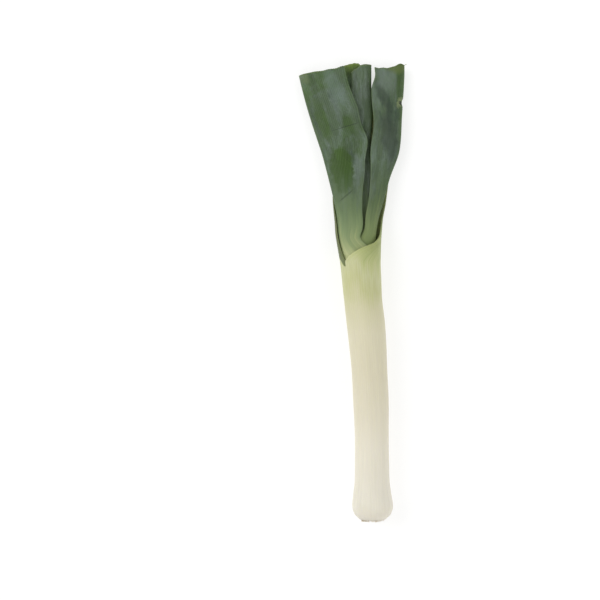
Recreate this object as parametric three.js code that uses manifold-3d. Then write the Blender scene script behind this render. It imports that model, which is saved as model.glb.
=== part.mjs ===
// A trimmed leek lying on its side, in millimetres.
//
// The root end points to -Y and the leaf fan to +Y. +X is to the right of someone who looks down on
// it, and +Z is up. The origin is on the surface that the leek lies on, below the middle of its
// outline, so the leek is 158 mm long to either side.
//
// A leek is a tight roll of leaves on a short root plate. Each leaf is one piece: a closed tube, the
// sheath, which makes a layer of the white shaft, and above its mouth a blade folded along its keel.
// The oldest leaf's keel is at the back. The others lie to the left and to the right by turns, and the
// blades spread into a flat fan.
import * as THREE from "three";
import { mergeVertices } from "three/addons/utils/BufferGeometryUtils.js";
import Module from "manifold-3d";

const wasm = await Module();
wasm.setup();

// Outer skin seen from above: distance along the leek, left side, right side.
const SKIN = [
  [-156.3, 5, 23],
  [-154.3, 2.6, 25.7],
  [-151, 0.7, 27.5],
  [-146.5, 0, 28.2],
  [-140, 0.7, 27.1],
  [-131, 1.7, 25.8],
  [-123, 1.9, 25.5],
  [-99, 1.9, 25.1],
  [-74.5, 0.7, 25.1],
  [-54, -0.3, 24.1],
  [-36.6, -2.1, 23.5],
  [-19, -4.1, 22.3],
  [-5.5, -5.6, 20.6],
  [11, -7.3, 19.9],
  [20.7, -8.4, 19.6],
  [39, -11.4, 20.2],
  [50, -12.2, 21.6],
  [60, -13.5, 24.2],
  [79, -17.4, 28.5],
  [95, -21.3, 34],
  [105, -24.6, 35.5],
  [121, -29.8, 36.3],
  [135, -33.8, 37.3],
  [149, -37.2, 38.1],
  [159, -39.4, 38.1],
];

// Where the round shaft ends, and where the roll of leaves is wholly flat.
const THROAT_START = 20;
const FAN_START = 96;
// Half the height of the fan over its skin, and how far its noses taper to the keels.
const FAN_HALF_HEIGHT = 6.65;
const FAN_NOSE = 15;
// How much the layers spread apart towards the cut ends.
const FAN_SPREAD = 1.25;
const SPREAD_FROM = 108;
const SPREAD_TO = 157;

// Height of the shaft's middle line at the root end and at the throat.
const BULB_AXIS_HEIGHT = 13.65;
const BULB_AXIS_PLACE = -147;
const THROAT_CLEARANCE = 0.7;
const FAN_CLEARANCE = 1.2;
// Two low waves of the fan: height, the run of a turn along the leek, and the run across it.
const LONG_WAVE = [0.45, 9.5, 15];
const CROSS_WAVE = [0.35, -31, 7];
const WAVE_FROM = 62;
const WAVE_TO = 105;
// Droop of the fan's two outer corners: how far, where along the leek, and where across it.
const LEFT_DROOP = 1.44;
const RIGHT_DROOP = 1.86;
const DROOP_ALONG = [122, 150];
const DROOP_ACROSS = [8, 30];

// The gap between a leaf and the next one, in the shaft and where the tubes open.
const GAP = 0.3;
const THROAT_GAP = 0.5;
const BLADE_THICKNESS = 0.8;
// The rib that stands out along a keel.
const RIB_HEIGHT = 0.45;
const RIB_HALF_WIDTH = 2.2;
const RIB_FROM = 60;
const RIB_TO = 100;

// Rows of vertices along a leaf: in its sheath, where its mouth opens, and along its blade.
const SHEATH_ROWS = [-140, -127, -100, -70, -38, -8];
const BULB_ROWS = [-156.3, -154.3, -151, -146.5];
const SHEATH_START = -149.6;
const OPENING_LENGTH = 25;
const OPENING_ROW_STEP = 4.2;
const BLADE_ROW_STEP = 11;
const OUTLINE_STEP = 3;

// The cut end: how far back its slant fades out, and how ragged it is.
const SLANT_LENGTH = 38;
const RAGGED_DEPTH = 0.25;
const RAGGED_TURNS = 23;
// The free edges ripple this much across the fan, with this run along it.
const RIPPLE = 0.35;
const RIPPLE_RUN = 4.3;
const RIPPLE_FROM = 70;
const RIPPLE_TO = 100;
// The back half of a blade is this much of the front half's width.
const BACK_SHARE = 0.97;
// How a mouth opens: how far before it the free edge starts to draw back, and how fast.
const MOUTH_LEAD = 4;
const MOUTH_POWER = 0.8;

// The leaves, from the outside in. keel: the side that the fold lies on. mouth: where the tube
// opens. keelTrack and ownFrom: where the keel leaves the roll's side, and its own line from there.
// margins: the free edge's place across the fan. widths: instead of margins, the half-widths of the
// right and the left half. cuts: for the front and the back half, where the knife cut it, from the
// keel (0) to the free edge (1).
const LEAVES = [
  {
    name: "leaf_1",
    keel: "back",
    sheath: 1.4,
    mouth: 16.7,
    closing: 142,
    columns: [13, 7],
    openingStep: 2.5,
    widths: [
      [[16.7, 56.7], [24, 51], [30, 42], [34, 32], [41, 24], [58, 20], [100, 22], [132, 20]],
      [[16.7, 31.3], [30, 26.5], [45, 24.5], [57, 22.5], [74, 19], [100, 21], [132, 19]],
    ],
    cuts: [[[0, 132], [1, 127]], [[0, 132], [1, 129]]],
    colour: 0x55704c,
  },
  {
    name: "leaf_2",
    keel: "left",
    sheath: 1.5,
    mouth: 25,
    columns: [10, 10],
    openingStep: 2,
    rib: true,
    margins: [
      [38, 5.2],
      [45.5, 7.1],
      [56, 6.7],
      [70, 7.2],
      [79, 8.2],
      [90, 9],
      [100, 10.4],
      [106, 10],
      [114, 6.9],
      [125.5, 4.2],
      [134.3, 0.4],
      [155.4, -5.6],
    ],
    cuts: [
      [[0, 149.4], [0.3, 151.2], [0.55, 152.4], [0.78, 153.8], [1, 155.4]],
      [[0, 148], [1, 153]],
    ],
    colour: 0x647a62,
  },
  {
    name: "leaf_3",
    keel: "right",
    sheath: 1.5,
    mouth: 24,
    columns: [10, 10],
    rib: true,
    margins: [
      [45.5, 8.4],
      [53, 9.2],
      [62, 10.9],
      [70, 12],
      [79, 12.5],
      [92, 12.7],
      [106, 13.6],
      [121, 14.8],
      [139.5, 12.9],
      [149, 16.1],
      [155, 15.6],
    ],
    cuts: [
      [[0, 156.8], [0.2, 157.6], [0.4, 155.6], [0.6, 154.6], [1, 154.6]],
      [[0, 155], [1, 153]],
    ],
    colour: 0x61755f,
  },
  {
    name: "leaf_4",
    keel: "left",
    sheath: 1.4,
    mouth: 28,
    columns: [8, 8],
    rib: true,
    ownFrom: [45, 80],
    nose: 7.5,
    keelTrack: [[45, -6], [60, -8.6], [80, -11.5], [100, -14.7], [120, -18.5], [150, -24]],
    margins: [[50, 6], [70, 4], [100, 0], [125, -5], [150, -10]],
    cuts: [[[0, 147.5], [1, 151.5]], [[0, 146.5], [1, 149.5]]],
    colour: 0x6f8a5c,
  },
  {
    name: "leaf_5",
    keel: "right",
    sheath: 1.4,
    mouth: 32,
    columns: [10, 8],
    rib: true,
    ownFrom: [20, 44],
    nose: 4.5,
    keelTrack: [
      [20, 11.6],
      [45.5, 10.6],
      [60, 13.2],
      [72, 14],
      [84, 13.4],
      [96, 12.2],
      [106, 12.3],
      [121, 13.4],
      [139.5, 12.6],
      [157, 12.6],
    ],
    margins: [[50, -2], [78, -3], [98, -3], [121, -1.5], [134, -0.5], [157, -0.8]],
    cuts: [
      [[0, 157], [0.3, 157.2], [0.48, 156.8], [0.75, 154.2], [1, 152]],
      [[0, 156], [1, 155]],
    ],
    colour: 0x66796a,
  },
  {
    name: "leaf_6",
    keel: "left",
    sheath: 2.3,
    mouth: 36,
    columns: [8, 8],
    rib: false,
    ownFrom: [45, 80],
    nose: 0.9,
    keelTrack: [[45, -1], [60, -3.2], [80, -4.2], [120, -5], [158, -5.2]],
    margins: [[55, 3.5], [80, 3.5], [120, 5.5], [158, 5.8]],
    cuts: [[[0, 156.2], [0.45, 157.6], [0.8, 158], [1, 156.6]], [[0, 156.2], [1, 156.6]]],
    colour: 0x93a548,
  },
];

// Root plate: radius and place along the leek of its turned outline, from the cut face inwards.
const PLATE_OUTLINE = [
  [0, -156.9],
  [6.5, -156.8],
  [7.2, -156.3],
  [7.5, -155.4],
  [9.2, -153.2],
  [11.2, -151.1],
  [11, -150.3],
  [6, -150],
  [0, -149.9],
];
const PLATE_SIDES = 20;
const ROOT_STUB_COUNT = 26;
const ROOT_STUB_SIDES = 5;
const ROOT_STUB_RADIUS = [0.42, 0.75];
const ROOT_STUB_LENGTH = [0.3, 0.95];
const ROOT_STUB_SINK = 1.6;
const ROOT_STUB_REACH = 6.4;
const ROOT_STUB_TAPER = 0.82;
const ROOT_STUB_LEAN = 0.5;
const ROOT_PLATE_COLOUR = 0xc9bd9a;
const GOLDEN_ANGLE = Math.PI * (3 - Math.sqrt(5));

// Vertices closer than this are one.
const MERGE_DISTANCE = 1e-5;

// A smooth curve through the points of a list, given by the first number of each.
function track(points, column = 1) {
  const last = points.length - 1;
  const slope = (i) => {
    const before = points[Math.max(i - 1, 0)];
    const after = points[Math.min(i + 1, last)];
    return (after[column] - before[column]) / (after[0] - before[0]);
  };
  return (y) => {
    if (y <= points[0][0]) return points[0][column];
    if (y >= points[last][0]) return points[last][column];
    let i = 0;
    while (y > points[i + 1][0]) i += 1;
    const length = points[i + 1][0] - points[i][0];
    const t = (y - points[i][0]) / length;
    const start = points[i][column];
    const end = points[i + 1][column];
    const rise = slope(i) * length;
    const fall = slope(i + 1) * length;
    const square = t * t;
    const cube = square * t;
    return (
      start * (2 * cube - 3 * square + 1) +
      rise * (cube - 2 * square + t) +
      end * (3 * square - 2 * cube) +
      fall * (cube - square)
    );
  };
}

function smooth(value, from, to) {
  const t = Math.min(Math.max((value - from) / (to - from), 0), 1);
  return t * t * (3 - 2 * t);
}

function mix(a, b, t) {
  return a + (b - a) * t;
}

const skinLeft = track(SKIN, 1);
const skinRight = track(SKIN, 2);

// How far the roll is flattened at a place: 0 in the round shaft, 1 in the fan.
function flattening(y) {
  return smooth(y, THROAT_START, FAN_START);
}

function shaftRadius(y) {
  const place = Math.min(y, THROAT_START);
  return (skinRight(place) - skinLeft(place)) / 2;
}

function spread(y) {
  return mix(1, FAN_SPREAD, smooth(y, SPREAD_FROM, SPREAD_TO));
}

// Height of the roll's middle. The shaft bridges from its bulb to the throat, and the fan lies flat.
function middleHeight(y) {
  const throat = shaftRadius(THROAT_START) + THROAT_CLEARANCE;
  if (y < THROAT_START) {
    const t = (y - BULB_AXIS_PLACE) / (THROAT_START - BULB_AXIS_PLACE);
    return mix(BULB_AXIS_HEIGHT, throat, Math.max(t, 0));
  }
  return mix(throat, FAN_HALF_HEIGHT + FAN_CLEARANCE, flattening(y));
}

// How far the waves lift a place of the fan. All leaves share them, so they keep their gaps, and the
// two outer corners droop until they touch the surface.
function wave(x, y) {
  let lift = 0;
  for (const [height, runAlong, runAcross] of [LONG_WAVE, CROSS_WAVE]) {
    lift += height * Math.sin(y / runAlong + x / runAcross);
  }
  const droop = (x < 0 ? LEFT_DROOP : RIGHT_DROOP) * smooth(y, ...DROOP_ALONG);
  return smooth(y, WAVE_FROM, WAVE_TO) * lift - droop * smooth(Math.abs(x), ...DROOP_ACROSS);
}

function thickness(leaf, y) {
  return mix(leaf.sheath, BLADE_THICKNESS, flattening(y));
}

function gapBetween(y) {
  return mix(GAP, THROAT_GAP, smooth(y, 0, 16) - smooth(y, 50, 85));
}

// The closed outline that a leaf's middle surface follows at a place: an oval with round ends, which
// fits inside the leaf around it. Its keel side may leave the roll on a line of its own.
function outline(layer, y) {
  const leaf = LEAVES[layer];
  const half = thickness(leaf, y) / 2;
  let shape;
  if (layer === 0) {
    const nose = mix(shaftRadius(y), FAN_NOSE, flattening(y));
    const height = mix(shaftRadius(y), FAN_HALF_HEIGHT, flattening(y)) * spread(y);
    shape = {
      left: skinLeft(y) + half,
      right: skinRight(y) - half,
      noseLeft: nose - half,
      noseRight: nose - half,
      height: height - half,
    };
  } else {
    const around = outline(layer - 1, y);
    const step = thickness(LEAVES[layer - 1], y) / 2 + gapBetween(y) + half;
    shape = {
      left: around.left + step,
      right: around.right - step,
      noseLeft: around.noseLeft - step,
      noseRight: around.noseRight - step,
      height: around.height - step * spread(y),
    };
  }
  if (leaf.keelTrack) {
    const own = smooth(y, ...leaf.ownFrom);
    const side = leaf.keel === "left" ? ["left", "noseLeft"] : ["right", "noseRight"];
    shape[side[0]] = mix(shape[side[0]], track(leaf.keelTrack)(y), own);
    shape[side[1]] = mix(shape[side[1]], leaf.nose, own);
  }
  const room = (shape.right - shape.left) / (shape.noseLeft + shape.noseRight);
  if (room < 1) {
    shape.noseLeft *= room;
    shape.noseRight *= room;
  }
  return shape;
}

// Points along one half of a leaf's outline, from its keel to where the tube closes.
function halfOutline(layer, y, side) {
  const leaf = LEAVES[layer];
  const shape = outline(layer, y);
  const middle = middleHeight(y);
  const centreLeft = shape.left + shape.noseLeft;
  const centreRight = shape.right - shape.noseRight;
  const at = (degrees, onRight) => {
    const angle = THREE.MathUtils.degToRad(degrees);
    const centre = onRight ? centreRight : centreLeft;
    const nose = onRight ? shape.noseRight : shape.noseLeft;
    const x = centre + nose * Math.cos(angle);
    const z = middle + shape.height * Math.sin(angle);
    const normal = new THREE.Vector2(Math.cos(angle) / nose, Math.sin(angle) / shape.height);
    return { x, z, normal: normal.normalize() };
  };
  const points = [];
  const turn = side === 0 ? 1 : -1;
  if (leaf.keel === "back") {
    const end = side === 0 ? leaf.closing : leaf.closing - 360;
    const keelX = (shape.left + shape.right) / 2;
    const down = new THREE.Vector2(0, -1);
    points.push({ x: keelX, z: middle - shape.height, normal: down });
    for (let degrees = -90; turn * (end - degrees) > 0; degrees += turn * OUTLINE_STEP) {
      const onRight = turn > 0 ? degrees <= 90 : false;
      points.push(at(degrees, onRight));
      if (degrees === 90) points.push(at(90, false));
    }
    points.push(at(end, false));
    return points;
  }
  const keelOnRight = leaf.keel === "right";
  for (let degrees = 0; degrees <= 90; degrees += OUTLINE_STEP) {
    const angle = keelOnRight ? degrees : 180 - degrees;
    points.push(at(turn * angle, keelOnRight));
  }
  for (let degrees = 90; degrees <= 180; degrees += OUTLINE_STEP) {
    const angle = keelOnRight ? degrees : 180 - degrees;
    points.push(at(turn * angle, !keelOnRight));
  }
  return points;
}

function lengthsAlong(points) {
  const lengths = [0];
  for (let i = 1; i < points.length; i += 1) {
    const gap = Math.hypot(points[i].x - points[i - 1].x, points[i].z - points[i - 1].z);
    lengths.push(lengths[i - 1] + gap);
  }
  return lengths;
}

// The point at a given travel from the keel, with the outline's outward direction there.
function pointAt(points, lengths, travel) {
  const last = points.length - 1;
  const reach = Math.min(Math.max(travel, 0), lengths[last]);
  let i = 0;
  while (i < last - 1 && lengths[i + 1] < reach) i += 1;
  const length = lengths[i + 1] - lengths[i];
  const t = length > 0 ? (reach - lengths[i]) / length : 0;
  const normal = points[i].normal.clone().lerp(points[i + 1].normal, t).normalize();
  return { x: mix(points[i].x, points[i + 1].x, t), z: mix(points[i].z, points[i + 1].z, t), normal };
}

// How far a half reaches from the keel before its outline passes a place across the fan.
function travelTo(points, lengths, x) {
  const away = Math.sign(points[points.length - 1].x - points[0].x);
  for (let i = 1; i < points.length; i += 1) {
    if (away * (points[i].x - x) >= 0) {
      const t = (x - points[i - 1].x) / (points[i].x - points[i - 1].x);
      return mix(lengths[i - 1], lengths[i], t);
    }
  }
  return lengths[lengths.length - 1];
}

// Half-width of a leaf at a place: the whole way round in the sheath, less above its mouth.
function halfWidth(layer, y, side, points, lengths) {
  const leaf = LEAVES[layer];
  const whole = lengths[lengths.length - 1];
  if (y <= leaf.mouth) return whole;
  if (leaf.widths) return Math.min(track(leaf.widths[side])(y), whole);
  const rippled = RIPPLE * smooth(y, RIPPLE_FROM, RIPPLE_TO);
  const ripple = rippled * Math.sin(y / RIPPLE_RUN + layer * 2 + side);
  const blade = travelTo(points, lengths, track(leaf.margins)(y)) + ripple;
  const back = side === 1 ? BACK_SHARE : 1;
  const opened = smooth(y, leaf.mouth - MOUTH_LEAD, leaf.margins[0][0]) ** MOUTH_POWER;
  return mix(whole, blade * back, opened);
}

// Rows of a leaf: shared rows in the sheath, close rows where its mouth opens, then even steps to
// the cut end.
function leafRows(leaf) {
  const rows = leaf.keel === "back" ? [...BULB_ROWS] : [SHEATH_START];
  const beforeMouth = mix(SHEATH_ROWS.at(-1), leaf.mouth, 0.6);
  rows.push(...SHEATH_ROWS, beforeMouth, leaf.mouth);
  const end = Math.max(...leaf.cuts.flat().map(([, place]) => place));
  const opened = leaf.mouth + OPENING_LENGTH;
  const closeSteps = Math.round(OPENING_LENGTH / (leaf.openingStep ?? OPENING_ROW_STEP));
  for (let i = 1; i <= closeSteps; i += 1) rows.push(mix(leaf.mouth, opened, i / closeSteps));
  const steps = Math.round((end - opened) / BLADE_ROW_STEP);
  for (let i = 1; i <= steps; i += 1) rows.push(mix(opened, end, i / steps));
  return rows;
}

// One vertex pair of a leaf: on its outer and on its inner face.
function leafPoint(layer, row, side, share, end) {
  const leaf = LEAVES[layer];
  const ragged = share * RAGGED_DEPTH * Math.sin(share * RAGGED_TURNS + layer * 5 + side);
  const cut = track(leaf.cuts[side])(share) + ragged;
  const y = row + smooth(row, end - SLANT_LENGTH, end) * (cut - end);
  const points = halfOutline(layer, y, side);
  const lengths = lengthsAlong(points);
  const travel = share * halfWidth(layer, y, side, points, lengths);
  const place = pointAt(points, lengths, travel);
  const half = thickness(leaf, y) / 2;
  const rib = leaf.rib ? RIB_HEIGHT * smooth(y, RIB_FROM, RIB_TO) : 0;
  const ribHere = rib * Math.exp(-((travel / RIB_HALF_WIDTH) ** 2));
  const lift = wave(place.x, y);
  const vertex = (offset) => [
    place.x + place.normal.x * offset,
    y,
    place.z + place.normal.y * offset + lift,
  ];
  return { outer: vertex(half + ribHere), inner: vertex(-half) };
}

// A leaf as one closed solid: outer and inner face, the rim at its foot, its two free edges above
// the mouth, and the cut end.
function leafGeometry(layer) {
  const leaf = LEAVES[layer];
  const rows = leafRows(leaf);
  const end = rows[rows.length - 1];
  const mouthRow = rows.indexOf(leaf.mouth);
  const positions = [];
  const indices = [];
  const add = (point) => positions.push(...point) / 3 - 1;
  const grid = rows.map((row, r) => {
    const keel = leafPoint(layer, row, 0, 0, end);
    const shared = { outer: add(keel.outer), inner: add(keel.inner) };
    const halves = [0, 1].map((side) => {
      const count = leaf.columns[side];
      const line = [shared];
      for (let c = 1; c <= count; c += 1) {
        const point = leafPoint(layer, row, side, c / count, end);
        line.push({ outer: add(point.outer), inner: add(point.inner) });
      }
      return line;
    });
    if (r <= mouthRow) halves[1][leaf.columns[1]] = halves[0][leaf.columns[0]];
    return halves;
  });
  const quad = (a, b, c, d, turned) => {
    if (turned) indices.push(a, b, c, a, c, d);
    else indices.push(a, c, b, a, d, c);
  };
  for (const side of [0, 1]) {
    const turned = (side === 1) !== (leaf.keel === "left");
    for (let r = 0; r + 1 < rows.length; r += 1) {
      const low = grid[r][side];
      const high = grid[r + 1][side];
      for (let c = 0; c < leaf.columns[side]; c += 1) {
        quad(low[c].outer, high[c].outer, high[c + 1].outer, low[c + 1].outer, !turned);
        quad(low[c].inner, high[c].inner, high[c + 1].inner, low[c + 1].inner, turned);
      }
      if (r >= mouthRow) {
        const a = low[leaf.columns[side]];
        const b = high[leaf.columns[side]];
        quad(a.outer, b.outer, b.inner, a.inner, !turned);
      }
    }
    const foot = grid[0][side];
    const top = grid[rows.length - 1][side];
    for (let c = 0; c < leaf.columns[side]; c += 1) {
      quad(foot[c].outer, foot[c + 1].outer, foot[c + 1].inner, foot[c].inner, !turned);
      quad(top[c].outer, top[c + 1].outer, top[c + 1].inner, top[c].inner, turned);
    }
  }
  const geometry = new THREE.BufferGeometry();
  geometry.setAttribute("position", new THREE.Float32BufferAttribute(positions, 3));
  geometry.setIndex(indices);
  return mergeVertices(geometry, MERGE_DISTANCE);
}

function toSolid(geometry) {
  const plain = geometry.clone();
  plain.deleteAttribute("normal");
  plain.deleteAttribute("uv");
  const merged = mergeVertices(plain, MERGE_DISTANCE);
  const vertProperties = new Float32Array(merged.attributes.position.array);
  const triVerts = new Uint32Array(merged.index.array);
  return new wasm.Manifold(new wasm.Mesh({ numProp: 3, vertProperties, triVerts }));
}

function toGeometry(solid) {
  const mesh = solid.getMesh();
  const geometry = new THREE.BufferGeometry();
  geometry.setAttribute("position", new THREE.Float32BufferAttribute(mesh.vertProperties, 3));
  geometry.setIndex(new THREE.Uint32BufferAttribute(mesh.triVerts, 1));
  return geometry;
}

// The bulb's small flat spot, where it lies on the surface.
function withRestingSpot(geometry) {
  const depth = 20;
  const below = new THREE.BoxGeometry(200, 400, depth);
  below.translate(0, 0, -depth / 2);
  return toGeometry(toSolid(geometry).subtract(toSolid(below)));
}

// The same sequence of draws on every run.
function seededDraws(seed) {
  let state = seed;
  return () => {
    state = (state * 1664525 + 1013904223) % 4294967296;
    return state / 4294967296;
  };
}

// The trimmed root plate, with the stubs of the cut roots standing out of its face.
function rootPlateGeometry() {
  const outlinePoints = PLATE_OUTLINE.map(([radius, y]) => new THREE.Vector2(radius, y));
  let solid = toSolid(new THREE.LatheGeometry(outlinePoints, PLATE_SIDES));
  const draw = seededDraws(11);
  for (let i = 0; i < ROOT_STUB_COUNT; i += 1) {
    const reach = ROOT_STUB_REACH * Math.sqrt((i + 0.5) / ROOT_STUB_COUNT);
    const turn = i * GOLDEN_ANGLE + draw() * ROOT_STUB_LEAN;
    const radius = mix(...ROOT_STUB_RADIUS, draw());
    const length = mix(...ROOT_STUB_LENGTH, draw());
    const height = length + ROOT_STUB_SINK;
    const tip = radius * ROOT_STUB_TAPER;
    const stub = new THREE.CylinderGeometry(radius, tip, height, ROOT_STUB_SIDES);
    stub.rotateY(draw() * Math.PI);
    stub.rotateX((draw() - 0.5) * ROOT_STUB_LEAN);
    stub.rotateZ((draw() - 0.5) * ROOT_STUB_LEAN);
    const face = PLATE_OUTLINE[0][1];
    stub.translate(reach * Math.cos(turn), face - length + height / 2, reach * Math.sin(turn));
    solid = solid.add(toSolid(stub));
  }
  return toGeometry(solid);
}

function material(colour) {
  return new THREE.MeshStandardMaterial({ color: colour, roughness: 0.55, metalness: 0 });
}

const leek = new THREE.Group();

LEAVES.forEach((leaf, layer) => {
  const geometry = leafGeometry(layer);
  const shape = layer === 0 ? withRestingSpot(geometry) : geometry;
  const mesh = new THREE.Mesh(shape, material(leaf.colour));
  mesh.name = leaf.name;
  leek.add(mesh);
});

const plate = new THREE.Mesh(rootPlateGeometry(), material(ROOT_PLATE_COLOUR));
plate.name = "root_plate";
const rootPlace = SKIN[0][0];
plate.position.set((skinLeft(rootPlace) + skinRight(rootPlace)) / 2, 0, BULB_AXIS_HEIGHT);
leek.add(plate);

export default leek;
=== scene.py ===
# The looks of a trimmed leek that lies on its side.
#
# The leek's root end points to -Y and its leaf fan to +Y, and +Z is up from the surface. Forms are
# worked out in millimetres and placed in metres. Each leaf is one piece: a closed sheath in the
# shaft, and a blade folded along its keel above the sheath's mouth.
import math

import bpy
import numpy as np
from bpy.props import FloatProperty, FloatVectorProperty, IntProperty, PointerProperty
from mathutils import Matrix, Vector


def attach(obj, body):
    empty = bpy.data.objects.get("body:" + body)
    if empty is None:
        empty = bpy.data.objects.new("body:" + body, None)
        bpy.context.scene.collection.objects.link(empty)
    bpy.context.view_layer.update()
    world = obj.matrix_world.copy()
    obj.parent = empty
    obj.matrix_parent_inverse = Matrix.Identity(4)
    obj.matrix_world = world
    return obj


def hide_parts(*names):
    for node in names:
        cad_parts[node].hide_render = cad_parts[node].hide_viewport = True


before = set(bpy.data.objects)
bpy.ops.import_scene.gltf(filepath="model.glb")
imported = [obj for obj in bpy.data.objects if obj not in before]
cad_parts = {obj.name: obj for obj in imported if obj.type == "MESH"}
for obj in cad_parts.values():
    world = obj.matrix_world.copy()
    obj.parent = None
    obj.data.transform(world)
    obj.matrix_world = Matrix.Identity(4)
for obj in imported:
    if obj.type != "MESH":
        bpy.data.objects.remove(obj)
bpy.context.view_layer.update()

bl_info = {
    "name": "Trimmed leek",
    "version": (1, 0, 0),
    "blender": (4, 5, 0),
    "location": "View3D > Sidebar > Leek",
    "description": "Leaves, root plate and stage of a trimmed leek",
    "category": "Add Mesh",
}

MM = 0.001

# Outer skin seen from above: distance along the leek, left side, right side.
SKIN = [
    [-156.3, 5, 23],
    [-154.3, 2.6, 25.7],
    [-151, 0.7, 27.5],
    [-146.5, 0, 28.2],
    [-140, 0.7, 27.1],
    [-131, 1.7, 25.8],
    [-123, 1.9, 25.5],
    [-99, 1.9, 25.1],
    [-74.5, 0.7, 25.1],
    [-54, -0.3, 24.1],
    [-36.6, -2.1, 23.5],
    [-19, -4.1, 22.3],
    [-5.5, -5.6, 20.6],
    [11, -7.3, 19.9],
    [20.7, -8.4, 19.6],
    [39, -11.4, 20.2],
    [50, -12.2, 21.6],
    [60, -13.5, 24.2],
    [79, -17.4, 28.5],
    [95, -21.3, 34],
    [105, -24.6, 35.5],
    [121, -29.8, 36.3],
    [135, -33.8, 37.3],
    [149, -37.2, 38.1],
    [159, -39.4, 38.1],
]

# Where the round shaft ends, where the roll of leaves is wholly flat, and how it spreads.
THROAT_START = 20
FAN_START = 96
FAN_HALF_HEIGHT = 6.65
FAN_NOSE = 15
FAN_SPREAD = 1.25
SPREAD_FROM = 108
SPREAD_TO = 157

BULB_AXIS_HEIGHT = 13.65
BULB_AXIS_PLACE = -147
THROAT_CLEARANCE = 0.7
FAN_CLEARANCE = 1.2
# Two low waves of the fan: height, the run of a turn along the leek, and the run across it.
LONG_WAVE = [0.45, 9.5, 15]
CROSS_WAVE = [0.35, -31, 7]
WAVE_FROM = 62
WAVE_TO = 105
LEFT_DROOP = 1.44
RIGHT_DROOP = 1.86
DROOP_ALONG = [122, 150]
DROOP_ACROSS = [8, 30]

GAP = 0.3
THROAT_GAP = 0.5
WIDE_GAP_STARTS = [0, 16]
WIDE_GAP_ENDS = [50, 85]
BLADE_THICKNESS = 0.8
RIB_HEIGHT = 0.45
RIB_HALF_WIDTH = 2.2
RIB_FROM = 60
RIB_TO = 100
SHEATH_START = -149.6
OPENING_LENGTH = 26
# Distance between rows along the closed sheaths, and how far each half of the outer leaf stops
# short of meeting the other where its sheath has opened.
OUTER_SHEATH_STEP = 3.2
INNER_SHEATH_STEP = 6
EDGE_PARTING = 0.04
# Degrees between the points of a leaf's way round its oval, and how many points the last stretch
# of the outer leaf has in each half.
ARC_STEP = 5
CLOSING_POINTS = [12, 9]

# The cut end: how far back its slant fades out, and depth and turns of its ragged line.
SLANT_LENGTH = 38
RAGGED_WAVES = [[0.25, 23], [0.1, 131], [0.07, 297]]
RIPPLE = 0.35
RIPPLE_RUN = 4.3
RIPPLE_FROM = 70
RIPPLE_TO = 100
BACK_SHARE = 0.97
MOUTH_LEAD = 4
MOUTH_POWER = 0.8
# The free edge: how thin and how wide its rim is, where the veins fade out, and how much farther
# away it counts as being in the closed sheath.
RIM_SHARE = 0.45
RIM_WIDTH = 1.4
VEIN_FADE = 2
INNER_VEIN_SHARE = 0.5
SHEATH_EDGE = 50

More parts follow.
